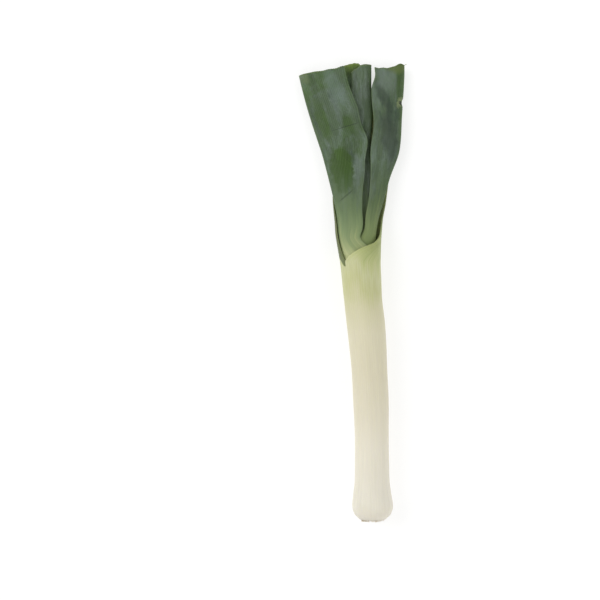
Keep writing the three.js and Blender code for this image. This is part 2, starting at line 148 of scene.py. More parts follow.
# The leaves, from the outside in, as the frame names them. keel: the side of the fold. mouth: where
# the tube opens. keel_track and own_from: the keel's own line across the fan, and where it leaves
# the roll's side. margins: the free edge's place. widths: instead of margins, the half-widths of the
# right and the left half. cuts: for the front and the back half, where the knife cut it, from the
# keel (0) to the free edge (1). free: how far the front may stand up, with nothing over it.
LEAVES = [
    {
        "name": "leaf_1",
        "keel": "back",
        "sheath": 1.4,
        "mouth": 16.7,
        "closing": 142,
        "rib": 0,
        "free": 0,
        "widths": [
            [[16.7, 56.7], [24, 51], [30, 42], [34, 32], [41, 24], [58, 20], [100, 22], [132, 20]],
            [[16.7, 31.3], [30, 26.5], [45, 24.5], [57, 22.5], [74, 19], [100, 21], [132, 19]],
        ],
        "cuts": [[[0, 132], [1, 127]], [[0, 132], [1, 129]]],
    },
    {
        "name": "leaf_2",
        "keel": "left",
        "sheath": 1.5,
        "mouth": 25,
        "rib": 1,
        "free": 1,
        "margins": [
            [38, 5.2], [45.5, 7.1], [56, 6.7], [70, 7.2], [79, 8.2], [90, 9],
            [100, 10.4], [106, 10], [114, 6.9], [125.5, 4.2], [134.3, 0.4], [155.4, -5.6],
        ],
        "cuts": [
            [[0, 149.4], [0.3, 151.2], [0.55, 152.4], [0.78, 153.8], [1, 155.4]],
            [[0, 148], [1, 153]],
        ],
    },
    {
        "name": "leaf_3",
        "keel": "right",
        "sheath": 1.5,
        "mouth": 24,
        "rib": 1,
        "free": 1,
        "margins": [
            [45.5, 8.4], [53, 9.2], [62, 10.9], [70, 12], [79, 12.5], [92, 12.7],
            [106, 13.6], [121, 14.8], [139.5, 12.9], [149, 16.1], [155, 15.6],
        ],
        "cuts": [
            [[0, 156.8], [0.2, 157.6], [0.4, 155.6], [0.6, 154.6], [1, 154.6]],
            [[0, 155], [1, 153]],
        ],
    },
    {
        "name": "leaf_4",
        "keel": "left",
        "sheath": 1.4,
        "mouth": 28,
        "rib": 1,
        "free": 0,
        "own_from": [45, 80],
        "nose": 7.5,
        "keel_track": [[45, -6], [60, -8.6], [80, -11.5], [100, -14.7], [120, -18.5], [150, -24]],
        "margins": [[50, 6], [70, 4], [100, 0], [125, -5], [150, -10]],
        "cuts": [[[0, 147.5], [1, 151.5]], [[0, 146.5], [1, 149.5]]],
    },
    {
        "name": "leaf_5",
        "keel": "right",
        "sheath": 1.4,
        "mouth": 32,
        "rib": 1,
        "free": 0,
        "own_from": [20, 44],
        "nose": 4.5,
        "keel_track": [
            [20, 11.6], [45.5, 10.6], [60, 13.2], [72, 14], [84, 13.4],
            [96, 12.2], [106, 12.3], [121, 13.4], [139.5, 12.6], [157, 12.6],
        ],
        "margins": [[50, -2], [78, -3], [98, -3], [121, -1.5], [134, -0.5], [157, -0.8]],
        "cuts": [
            [[0, 157], [0.3, 157.2], [0.48, 156.8], [0.75, 154.2], [1, 152]],
            [[0, 156], [1, 155]],
        ],
    },
    {
        "name": "leaf_6",
        "keel": "left",
        "sheath": 2.3,
        "mouth": 36,
        "rib": 0,
        "free": 0,
        "own_from": [45, 80],
        "nose": 0.9,
        "keel_track": [[45, -1], [60, -3.2], [80, -4.2], [120, -5], [158, -5.2]],
        "margins": [[55, 3.5], [80, 3.5], [120, 5.5], [158, 5.8]],
        "cuts": [[[0, 156.2], [0.45, 157.6], [0.8, 158], [1, 156.6]], [[0, 156.2], [1, 156.6]]],
    },
]

# Veins: a raised one at every fourth column, and the width that colours take a half leaf to have.
COLUMNS_PER_VEIN = 4
LANE_WIDTH = 40
# How far the front of the two broad leaves stands up in swells, with the runs of a turn along the
# leek and across the leaf, and how far it curls up at its free edge.
SWELL = 0.4
SWELL_RUNS = [[12.5, 7], [-26, 3.4], [5.6, -11]]
SWELL_ABOVE_MOUTH = [30, 60]
SWELL_FROM_KEEL = [0, 0.3]
CURL = 0.6
CURL_WIDTH = 9
CURL_VARIES = 0.4
CURL_RUN = 8
# The nick in the right leaf's fold: place along the leek, half length, half width and depth.
NICK_PLACE = 131
NICK_LENGTH = 1.9
NICK_WIDTH = 3
NICK_DEPTH = 1.1
# The fibre that the knife left at the right leaf's corner: its ends, radius, bow and taper.
TORN_FROM = [33.8, 154.2, 6.4]
TORN_TO = [37.9, 157.6, 7.4]
TORN_RADIUS = 0.28
TORN_BOW = 0.5
TORN_TAPER = 0.5
TORN_POINTS = 12
TORN_SIDES = 10

# Root plate: radius and place along the leek of its turned outline, from the cut face inwards.
PLATE_OUTLINE = [
    [0, -156.9],
    [6.5, -156.8],
    [7.45, -156.3],
    [8.3, -155.3],
    [9.2, -153.2],
    [11.2, -151.1],
    [11, -150.3],
    [6, -150],
    [0, -149.9],
]
PLATE_STEP = 0.35
PLATE_SIDES = 96
# Where the cut face starts and is whole, and its ridges: height, turns by radius, turns round it.
PLATE_FACE = [-155.4, -156.6]
PLATE_RIDGES = [[0.16, 4.2, 0], [0.12, 2.2, 9], [0.08, 5, 23]]

# Cut root stubs, set out in a spiral: how far they stray and lean, and how uneven they are.
ROOT_STUB_COUNT = 44
ROOT_STUB_RADIUS = [0.35, 0.7]
ROOT_STUB_LENGTH = [0.3, 0.95]
ROOT_STUB_SINK = 1.6
ROOT_STUB_REACH = 6.5
ROOT_STUB_STRAY = 0.5
ROOT_STUB_LEAN = 0.5
ROOT_STUB_TAPER = 0.18
ROOT_STUB_LUMP = 0.06
ROOT_STUB_LUMP_TURNS = 9
ROOT_STUB_CAP = 0.04
ROOT_STUB_CAP_SHARE = 0.7
ROOT_STUB_SIDES = 12
GOLDEN_ANGLE = math.pi * (3 - math.sqrt(5))

# Dry root fibres, by turns at the rim and on the face. Reach and length: the least, and the most
# that is added to it.
ROOT_FIBRE_COUNT = 84
ROOT_FIBRE_REACH = [[7.2, 0.7], [3, 5]]
ROOT_FIBRE_LENGTH = [0.4, 0.9]
ROOT_FIBRE_DRIFT = 3
ROOT_FIBRE_SINK = 0.6
ROOT_FIBRE_RADIUS = 0.11
ROOT_FIBRE_TAPER = 0.6
ROOT_FIBRE_SIDES = 6
STRAND_SHARES = np.linspace(0, 1, 7)

# Patterns drawn out along the leaves: how much shorter they are along the leaf, the seed that they
# add to the leaf's own, and the noise's scale, detail and roughness.
LANE_PATTERNS = {
    "fine": (0.035, 0, 0.9, 4),
    "broad": (0.12, 7, 0.16, 2),
    "mottle": (0.7, 17, 0.34, 3, 0.6),
    "clouds": (0.45, 3, 0.1, 5, 0.65),
    "deep": (0.5, 13, 0.07, 4, 0.6),
    "fibres": (0.02, 9, 2.6, 3),
}
# Patterns the same in every direction: scale, detail, roughness and distortion.
PLAIN_PATTERNS = {
    "uneven": (0.16, 3, 0.6),
    "patches": (0.045, 3, 0.6, 0.4),
    "specks": (1.1, 2, 0.5),
    "torn": (0.7, 4, 0.7),
    "pores": (2.2, 2),
    "fibre grain": (2.5, 3),
    "root cloud": (0.5, 5, 0.6),
    "root specks": (2.4, 3, 0.6),
    "root grit": (4, 4, 0.65),
    "floor": (0.004, 2),
}
SPOT_ROUGHNESS = 0.9
TORN_SPOT_ROUGHNESS = 2.2
SMUDGE_STRETCH = 0.6
SMUDGE_STRAY = 14
SMUDGE_SCALE = 0.13
DARK_MARGIN_SLANT = 1.1
PORE_DEPTH = 0.03
ROOT_GRIT_DEPTH = 0.35

# How bright the floor glows by itself, and its two greys.
FLOOR_GLOW = 0.67
FLOOR_GREYS = [(0.42, 0.42, 0.42), (0.4, 0.4, 0.4)]
# The soft lights: name, share of the key power, size across, and place. They aim at the leek.
SOFT_LIGHTS = [["key", 1, 1.5, (-1.2, 0.45, 1.2)], ["fill", 0.5, 1.4, (1.3, -0.6, 1.2)]]

# The view: straight down, with this many millimetres across the picture at the leek's middle.
VIEW_CENTRE = [-35.9, -5.5]
VIEW_WIDTH = 414
VIEW_HEIGHT = 1400
LEEK_MIDDLE = 10


def smooth(value, low, high):
    t = np.clip((value - low) / (high - low), 0, 1)
    return t * t * (3 - 2 * t)


def mix(a, b, t):
    return a + (b - a) * t


def track(points, column=1):
    """A smooth curve through the points of a list, given by the first number of each."""
    places = np.array([point[0] for point in points], float)
    values = np.array([point[column] for point in points], float)
    before = np.maximum(np.arange(len(places)) - 1, 0)
    after = np.minimum(np.arange(len(places)) + 1, len(places) - 1)
    slopes = (values[after] - values[before]) / (places[after] - places[before])

    def curve(y):
        y = np.clip(y, places[0], places[-1])
        i = np.clip(np.searchsorted(places, y, side="right") - 1, 0, len(places) - 2)
        length = places[i + 1] - places[i]
        t = (y - places[i]) / length
        square = t * t
        cube = square * t
        start = values[i] * (2 * cube - 3 * square + 1)
        rise = slopes[i] * length * (cube - 2 * square + t)
        end = values[i + 1] * (3 * square - 2 * cube)
        fall = slopes[i + 1] * length * (cube - square)
        return start + rise + end + fall

    return curve


skin_left = track(SKIN, 1)
skin_right = track(SKIN, 2)


def flattening(y):
    """How far the roll is flattened at a place: 0 in the round shaft, 1 in the fan."""
    return smooth(y, THROAT_START, FAN_START)


def spread(y):
    return mix(1, FAN_SPREAD, smooth(y, SPREAD_FROM, SPREAD_TO))


def shaft_radius(y):
    place = np.minimum(y, THROAT_START)
    return (skin_right(place) - skin_left(place)) / 2


def middle_height(y):
    """Height of the roll's middle: the shaft bridges from its bulb to the throat, and the fan lies."""
    throat = shaft_radius(THROAT_START) + THROAT_CLEARANCE
    t = np.clip((y - BULB_AXIS_PLACE) / (THROAT_START - BULB_AXIS_PLACE), 0, 1)
    shaft = mix(BULB_AXIS_HEIGHT, throat, t)
    fan = mix(throat, FAN_HALF_HEIGHT + FAN_CLEARANCE, flattening(y))
    return np.where(y < THROAT_START, shaft, fan)


def wave(x, y):
    """How far low waves lift a place of the fan. All leaves share them, so they keep their gaps."""
    lift = 0
    for height, run_along, run_across in (LONG_WAVE, CROSS_WAVE):
        lift = lift + height * np.sin(y / run_along + x / run_across)
    droop = np.where(x < 0, LEFT_DROOP, RIGHT_DROOP) * smooth(y, *DROOP_ALONG)
    return smooth(y, WAVE_FROM, WAVE_TO) * lift - droop * smooth(np.abs(x), *DROOP_ACROSS)


def thickness(leaf, y):
    return mix(leaf["sheath"], BLADE_THICKNESS, flattening(y))


def gap_between(y):
    return mix(GAP, THROAT_GAP, smooth(y, *WIDE_GAP_STARTS) - smooth(y, *WIDE_GAP_ENDS))


def outline(layer, y):
    """The closed oval that a leaf's middle surface follows, inside the leaf around it."""
    leaf = LEAVES[layer]
    half = thickness(leaf, y) / 2
    if layer == 0:
        flat = flattening(y)
        nose = mix(shaft_radius(y), FAN_NOSE, flat) - half
        height = mix(shaft_radius(y), FAN_HALF_HEIGHT, flat) * spread(y) - half
        shape = {"left": skin_left(y) + half, "right": skin_right(y) - half, "height": height}
        shape["nose_left"] = nose
        shape["nose_right"] = nose
    else:
        around = outline(layer - 1, y)
        step = thickness(LEAVES[layer - 1], y) / 2 + gap_between(y) + half
        shape = {
            "left": around["left"] + step,
            "right": around["right"] - step,
            "nose_left": around["nose_left"] - step,
            "nose_right": around["nose_right"] - step,
            "height": around["height"] - step * spread(y),
        }
    if "keel_track" in leaf:
        own = smooth(y, *leaf["own_from"])
        side = leaf["keel"]
        shape[side] = mix(shape[side], track(leaf["keel_track"])(y), own)
        shape["nose_" + side] = mix(shape["nose_" + side], leaf["nose"], own)
    room = (shape["right"] - shape["left"]) / (shape["nose_left"] + shape["nose_right"])
    room = np.minimum(room, 1)
    shape["nose_left"] = shape["nose_left"] * room
    shape["nose_right"] = shape["nose_right"] * room
    return shape


def path_of_half(leaf, side):
    """Angle and nose (0 left, 1 right) at each step of a half's way from its keel to its closing."""
    turn = 1 if side == 0 else -1
    quarter = np.arange(0, 90 + ARC_STEP, ARC_STEP, dtype=float)
    if leaf["keel"] == "back":
        if side == 0:
            rest = np.linspace(90, leaf["closing"], CLOSING_POINTS[side])
            angles = [[-90], quarter - 90, quarter[1:], rest]
            noses = [[0.5], quarter * 0 + 1, quarter[1:] * 0 + 1, rest * 0]
        else:
            rest = np.linspace(-180, leaf["closing"] - 360, CLOSING_POINTS[side])[1:]
            angles = [[-90], -90 - quarter, rest]
            noses = [[0.5], quarter * 0, rest * 0]
        return np.concatenate(angles), np.concatenate(noses)
    near = 1.0 if leaf["keel"] == "right" else 0.0
    ways = np.concatenate([quarter, quarter + 90])
    noses = np.concatenate([quarter * 0 + near, quarter * 0 + 1 - near])
    angles = turn * (ways if leaf["keel"] == "right" else 180 - ways)
    return angles, noses


def on_outline(shape, middle, angles, noses):
    """Place and outward direction on an oval at an angle, on its left or right nose."""
    centre_left = shape["left"] + shape["nose_left"]
    centre_right = shape["right"] - shape["nose_right"]
    nose = mix(shape["nose_left"], shape["nose_right"], noses)
    turn = np.radians(angles)
    x = mix(centre_left, centre_right, noses) + nose * np.cos(turn)
    z = middle + shape["height"] * np.sin(turn)
    across = np.cos(turn) / nose
    up = np.sin(turn) / shape["height"]
    length = np.hypot(across, up)
    return x, z, across / length, up / length


def half_width(layer, y, side, x_steps, lengths):
    """Half-width of a leaf: the whole way round in the sheath, less above its mouth."""
    leaf = LEAVES[layer]
    whole = lengths[:, -1]
    if "widths" in leaf:
        width = np.minimum(track(leaf["widths"][side])(y), whole - EDGE_PARTING)
        return np.where(y <= leaf["mouth"], whole, width)
    target = track(leaf["margins"])(y)
    away = 1 if leaf["keel"] == "left" else -1
    passed = away * (x_steps - target[:, None]) >= 0
    passed[:, -1] = True
    i = np.maximum(passed.argmax(1), 1)
    row = np.arange(len(y))
    gap = x_steps[row, i] - x_steps[row, i - 1]
    t = np.clip((target - x_steps[row, i - 1]) / np.where(gap == 0, 1, gap), 0, 1)
    rippled = RIPPLE * smooth(y, RIPPLE_FROM, RIPPLE_TO)
    ripple = rippled * np.sin(y / RIPPLE_RUN + layer * 2 + side)
    blade = mix(lengths[row, i - 1], lengths[row, i], t) + ripple
    back = BACK_SHARE if side == 1 else 1
    opened = smooth(y, leaf["mouth"] - MOUTH_LEAD, leaf["margins"][0][0]) ** MOUTH_POWER
    return np.where(y <= leaf["mouth"], whole, mix(whole, blade * back, opened))


def leaf_rows(leaf, sheath_step, opening_step, blade_step):
    """Rows of vertices along a leaf, close together where its mouth opens."""
    foot = SKIN[0][0] if leaf["keel"] == "back" else SHEATH_START
    end = max(place for cut in leaf["cuts"] for _, place in cut)
    opened = leaf["mouth"] + OPENING_LENGTH
    sheath = np.linspace(foot, leaf["mouth"], round((leaf["mouth"] - foot) / sheath_step) + 1)
    opening = np.linspace(leaf["mouth"], opened, round(OPENING_LENGTH / opening_step) + 1)[1:]
    blade = np.linspace(opened, end, round((end - opened) / blade_step) + 1)[1:]
    return np.concatenate([sheath, opening, blade]), len(sheath) - 1


def leaf_half(layer, rows, columns, side, vein_height):
    """Vertices of one half of a leaf, with what its finish needs to know at each of them."""
    leaf = LEAVES[layer]
    end = rows[-1]
    share = np.linspace(0, 1, columns + 1)
    row_grid, share_grid = np.meshgrid(rows, share, indexing="ij")
    row_flat = row_grid.ravel()
    share_flat = share_grid.ravel()
    ragged = 0
    for (depth, turns), shift in zip(RAGGED_WAVES, (layer * 5 + side, layer, side)):
        ragged = ragged + depth * np.sin(share_flat * turns + shift)
    cut = track(leaf["cuts"][side])(share_flat) + ragged * share_flat
    y = row_flat + smooth(row_flat, end - SLANT_LENGTH, end) * (cut - end)
    shape = outline(layer, y)
    middle = middle_height(y)
    angles, noses = path_of_half(leaf, side)
    columns_of = {name: value[:, None] for name, value in shape.items()}
    x_steps, z_steps, _, _ = on_outline(columns_of, middle[:, None], angles[None], noses[None])
    gaps = np.hypot(np.diff(x_steps, axis=1), np.diff(z_steps, axis=1))
    lengths = np.concatenate([np.zeros((len(y), 1)), np.cumsum(gaps, axis=1)], axis=1)
    width = half_width(layer, y, side, x_steps, lengths)
    travel = np.minimum(share_flat * width, lengths[:, -1])
    i = np.clip((lengths <= travel[:, None]).sum(1) - 1, 0, lengths.shape[1] - 2)
    row = np.arange(len(y))
    gap = lengths[row, i + 1] - lengths[row, i]
    t = np.clip((travel - lengths[row, i]) / np.where(gap == 0, 1, gap), 0, 1)
    angle = mix(angles[i], angles[i + 1], t)
    nose = mix(noses[i], noses[i + 1], t)
    x, z, out_x, out_z = on_outline(shape, middle, angle, nose)
    edge = width - travel + np.where(row_flat <= leaf["mouth"], SHEATH_EDGE, 0)
    vein = share_flat * columns / COLUMNS_PER_VEIN
    lane = (1 if side == 0 else -1) * share_flat * LANE_WIDTH
    rim = mix(RIM_SHARE, 1, smooth(edge, 0, RIM_WIDTH))
    half = thickness(leaf, y) / 2 * rim
    rib_here = np.exp(-((travel / RIB_HALF_WIDTH) ** 2))
    rib = leaf["rib"] * RIB_HEIGHT * smooth(y, RIB_FROM, RIB_TO) * rib_here
    veins = vein_height * np.cos(2 * np.pi * vein) * smooth(edge, 0, VEIN_FADE)
    stand = surface_swell(leaf, y, lane, edge, share_flat) if side == 0 else 0
    if leaf["name"] == "leaf_3":
        depth = np.exp(-(((y - NICK_PLACE) / NICK_LENGTH) ** 2)) * np.exp(-((travel / NICK_WIDTH) ** 2))
        stand = stand - NICK_DEPTH * depth
    lift = wave(x, y)
    faces = {}
    for face, offset in (("outer", half + rib + veins), ("inner", -half + veins * INNER_VEIN_SHARE)):
        reach = offset + stand
        points = np.stack([x + out_x * reach, y, z + out_z * reach + lift], axis=1)
        points[:, 2] = np.maximum(points[:, 2], 0)
        faces[face] = points
    notes = {"along": y, "lane": lane, "edge": edge, "vein": vein, "keel": travel}
    notes["cut"] = end - row_flat
    return faces, notes


def surface_swell(leaf, y, lane, edge, share):
    """How far the front of a broad blade stands up: long swells, and a curl at its free edge."""
    waves = sum(np.sin(y / along + lane / across) for along, across in SWELL_RUNS)
    swell = SWELL * (1 + waves / len(SWELL_RUNS))
    curl = CURL * smooth(edge, CURL_WIDTH, 0) * (1 + CURL_VARIES * np.sin(y / CURL_RUN))
    open_blade = smooth(y - leaf["mouth"], *SWELL_ABOVE_MOUTH)
    return leaf["free"] * open_blade * smooth(share, *SWELL_FROM_KEEL) * (swell + curl)


def leaf_mesh(layer, columns, steps, vein_height):
    """A leaf as one closed mesh: both faces, the foot's rim, the free edges and the cut end."""
    leaf = LEAVES[layer]
    rows, mouth_row = leaf_rows(leaf, *steps)
    points = []
    notes = {key: [] for key in ("along", "lane", "edge", "cut", "vein", "keel", "inner")}
    grids = {}
    for side in (0, 1):
        faces, facts = leaf_half(layer, rows, columns[side], side, vein_height)
        for face in ("outer", "inner"):
            start = sum(len(block) for block in points)
            points.append(faces[face])
            for key, value in facts.items():
                notes[key].append(value)
            notes["inner"].append(np.full(len(faces[face]), float(face == "inner")))
            size = (len(rows), columns[side] + 1)
            grids[side, face] = start + np.arange(size[0] * size[1]).reshape(size)
    for face in ("outer", "inner"):
        grids[1, face][:, 0] = grids[0, face][:, 0]
        grids[1, face][: mouth_row + 1, -1] = grids[0, face][: mouth_row + 1, -1]
    quads = []

    def add(a, b, c, d, turned):
        block = np.stack([a, b, c, d], axis=-1).reshape(-1, 4)
        quads.append(block if turned else block[:, ::-1])

    for side in (0, 1):
        turned = (side == 1) != (leaf["keel"] == "left")
        outer = grids[side, "outer"]
        inner = grids[side, "inner"]
        add(outer[:-1, :-1], outer[1:, :-1], outer[1:, 1:], outer[:-1, 1:], not turned)
        add(inner[:-1, :-1], inner[1:, :-1], inner[1:, 1:], inner[:-1, 1:], turned)
        low = slice(mouth_row, -1)
        high = slice(mouth_row + 1, None)
        add(outer[low, -1], outer[high, -1], inner[high, -1], inner[low, -1], not turned)
        add(outer[0, :-1], outer[0, 1:], inner[0, 1:], inner[0, :-1], not turned)
        add(outer[-1, :-1], outer[-1, 1:], inner[-1, 1:], inner[-1, :-1], turned)
    every_point = np.concatenate(points)
    every_quad = np.concatenate(quads)
    used, compact = np.unique(every_quad, return_inverse=True)
    every_note = {key: np.concatenate(value)[used] for key, value in notes.items()}
    return every_point[used], compact.reshape(-1, 4), every_note


def piece_from(name, points, faces, notes, material):
    """A Blender object from points in millimetres, with the notes as its vertex attributes."""
    mesh = bpy.data.meshes.new(name)
    mesh.from_pydata((np.asarray(points) * MM).tolist(), [], [list(face) for face in faces])
    for key, value in notes.items():
        attribute = mesh.attributes.new(key, "FLOAT", "POINT")
        attribute.data.foreach_set("value", np.asarray(value, dtype=np.float32))
    mesh.polygons.foreach_set("use_smooth", [True] * len(mesh.polygons))
    mesh.materials.append(material)
    mesh.validate()
    mesh.update()
    piece = bpy.data.objects.new(name, mesh)
    bpy.context.scene.collection.objects.link(piece)
    return piece


def hand_over(piece, node):
    """The piece rides on the one body and stands for its node, which it hides."""
    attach(piece, "root")
    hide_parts(node)


class Shader:
    """One procedural material, with short calls for the nodes that it is made of."""

    def __init__(self, name):
        self.material = bpy.data.materials.new(name)
        self.material.use_nodes = True
        self.tree = self.material.node_tree
        self.surface = self.tree.nodes["Principled BSDF"]

    def add(self, kind):
        return self.tree.nodes.new("ShaderNode" + kind)

    def plug(self, socket, value):
        if isinstance(value, bpy.types.NodeSocket):
            self.tree.links.new(value, socket)
        elif isinstance(value, (tuple, list)) and len(value) == 3 and socket.type == "RGBA":
            socket.default_value = (*value, 1)
        else:
            socket.default_value = value

    def note(self, name):
        node = self.add("Attribute")
        node.attribute_name = name
        return node.outputs["Fac"]

    def maths(self, operation, a, b=0.0, clamp=False):
        node = self.add("Math")
        node.operation = operation
        node.use_clamp = clamp
        self.plug(node.inputs[0], a)
        self.plug(node.inputs[1], b)
        return node.outputs[0]

    def between(self, value, low, high, start=0.0, end=1.0, kind="SMOOTHSTEP"):
        node = self.add("MapRange")
        node.interpolation_type = kind
        self.plug(node.inputs["Value"], value)
        for name, number in zip(("From Min", "From Max", "To Min", "To Max"), (low, high, start, end)):
            node.inputs[name].default_value = number
        return node.outputs["Result"]

    def vector(self, x, y, z):
        node = self.add("CombineXYZ")
        for socket, value in zip(node.inputs, (x, y, z)):
            self.plug(socket, value)
        return node.outputs[0]

    def noise(self, vector, scale, detail=3.0, roughness=0.55, distortion=0.0):
        node = self.add("TexNoise")
        self.plug(node.inputs["Vector"], vector)
        node.inputs["Scale"].default_value = scale
        node.inputs["Detail"].default_value = detail
        node.inputs["Roughness"].default_value = roughness
        node.inputs["Distortion"].default_value = distortion
        return node.outputs["Fac"]

    def pattern(self, name, vector):
        return self.noise(vector, *PLAIN_PATTERNS[name])

    def cells(self, vector, scale):
        """A number from 0 to 1, the same all over each cell of an uneven pattern."""
        node = self.add("TexVoronoi")
        self.plug(node.inputs["Vector"], vector)
        node.inputs["Scale"].default_value = scale
        return self.split(node.outputs["Color"])[0]

    def place(self):
        """Place on the object in millimetres."""
        coordinates = self.add("TexCoord")
        node = self.add("VectorMath")
        node.operation = "SCALE"
        self.plug(node.inputs[0], coordinates.outputs["Object"])
        node.inputs["Scale"].default_value = 1 / MM
        return node.outputs[0]

    def ramp(self, value, stops, low, high):
        """Colours at places between low and high."""
        node = self.add("ValToRGB")
        elements = node.color_ramp.elements
        while len(elements) < len(stops):
            elements.new(0.5)
        for element, (place, colour) in zip(elements, stops):
            element.position = (place - low) / (high - low)
            element.color = (*colour, 1)
        self.plug(node.inputs["Fac"], self.between(value, low, high, kind="LINEAR"))
        return node.outputs["Color"]

    def blend(self, a, b, share, kind="MIX"):
        node = self.add("Mix")
        node.data_type = "RGBA"
        node.blend_type = kind
        self.plug(node.inputs[0], share)
        self.plug(node.inputs[6], a)
        self.plug(node.inputs[7], b)
        return node.outputs[2]

    def bump(self, height, depth, normal=None):
        """A bump whose height value 1 stands for depth millimetres."""
        node = self.add("Bump")
        node.inputs["Strength"].default_value = 1
        node.inputs["Distance"].default_value = depth * MM
        self.plug(node.inputs["Height"], height)
        if normal is not None:
            self.plug(node.inputs["Normal"], normal)
        return node.outputs["Normal"]

    def split(self, vector):
        node = self.add("SeparateXYZ")
        self.plug(node.inputs[0], vector)
        return node.outputs[:3]

    def total(self, a, b, clamp=False):
        return self.maths("ADD", a, b, clamp)

    def less(self, a, b):
        """The first value less the second."""
        return self.maths("SUBTRACT", a, b)

    def product(self, *values):
        result = values[0]
        for value in values[1:]:
            result = self.maths("MULTIPLY", result, value)
        return result

    def spot(self, place, rough, centre, radii, slant=0.0, soft=0.35):
        """1 inside an uneven oval about a centre, across and along the leek, and 0 outside it."""
        x, y, _ = self.split(place)
        away_y = self.less(y, centre[1])
        middle = self.total(self.product(away_y, slant), centre[0])
        across = self.maths("DIVIDE", self.less(x, middle), radii[0])
        along = self.maths("DIVIDE", away_y, radii[1])
        square = self.total(self.product(across, across), self.product(along, along))
        distance = self.total(self.maths("SQRT", square), self.product(rough, SPOT_ROUGHNESS))
        return self.between(distance, 1 - soft / 2, 1 + soft / 2, 1, 0)

    def finish(self, colour, roughness, normal, **settings):
        self.plug(self.surface.inputs["Base Color"], colour)
        self.plug(self.surface.inputs["Roughness"], roughness)
        self.plug(self.surface.inputs["Normal"], normal)
        for name, value in settings.items():
            self.surface.inputs[name.replace("_", " ")].default_value = value
        return self.material


def linear(red, green, blue):
    """A screen colour, 0 to 255, as scene light."""
    out = []
    for value in (red / 255, green / 255, blue / 255):
        out.append(value / 12.92 if value <= 0.04045 else ((value + 0.055) / 1.055) ** 2.4)
    return tuple(out)


def lane_noise(shader, lane, along, seed, pattern):
    """A pattern drawn out along the leaf, so that it follows the veins."""
    stretch, shift, *values = LANE_PATTERNS[pattern]
    place = shader.vector(lane, shader.product(along, stretch), seed + shift)
    return shader.noise(place, *values)


